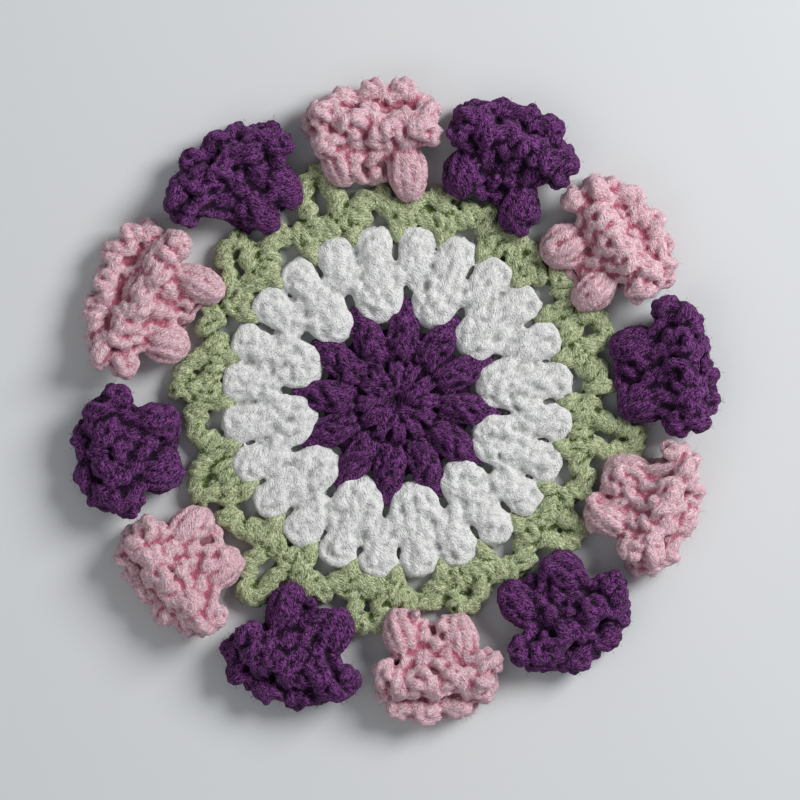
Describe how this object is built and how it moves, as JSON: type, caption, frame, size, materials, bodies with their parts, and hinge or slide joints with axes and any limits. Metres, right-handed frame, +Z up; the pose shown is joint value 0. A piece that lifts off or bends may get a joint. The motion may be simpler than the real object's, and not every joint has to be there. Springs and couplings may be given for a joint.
{
  "type": "crochet flower coaster",
  "caption": "Round crochet table mat with a purple star middle, white round, looped green leaves and a border of pink and purple carnation heads.",
  "frame": {"origin": "middle of the flat underside, under the centre of the purple star", "axes": "+Z up out of the mat's face; +Y towards the first pink flower (six degrees left of it), +X to the right seen from above"},
  "size_m": [0.1643, 0.1635, 0.0145],
  "materials": {
    "purple_yarn": "matt, slightly fuzzy cotton yarn",
    "white_yarn": "matt, soft fuzzy cotton yarn",
    "green_yarn": "matt, slightly fuzzy cotton yarn",
    "pink_yarn": "matt, soft fuzzy cotton yarn"
  },
  "bodies": {
    "root": {"centre": "purple_yarn", "white_ring": "white_yarn", "leaf_ring": "green_yarn", "flower_01_pink": "pink_yarn", "flower_02_purple": "purple_yarn", "flower_03_pink": "pink_yarn", "flower_04_purple": "purple_yarn", "flower_05_pink": "pink_yarn", "flower_06_purple": "purple_yarn", "flower_07_pink": "pink_yarn", "flower_08_purple": "purple_yarn", "flower_09_pink": "pink_yarn", "flower_10_purple": "purple_yarn", "flower_11_pink": "pink_yarn", "flower_12_purple": "purple_yarn"}
  },
  "joints": []
}
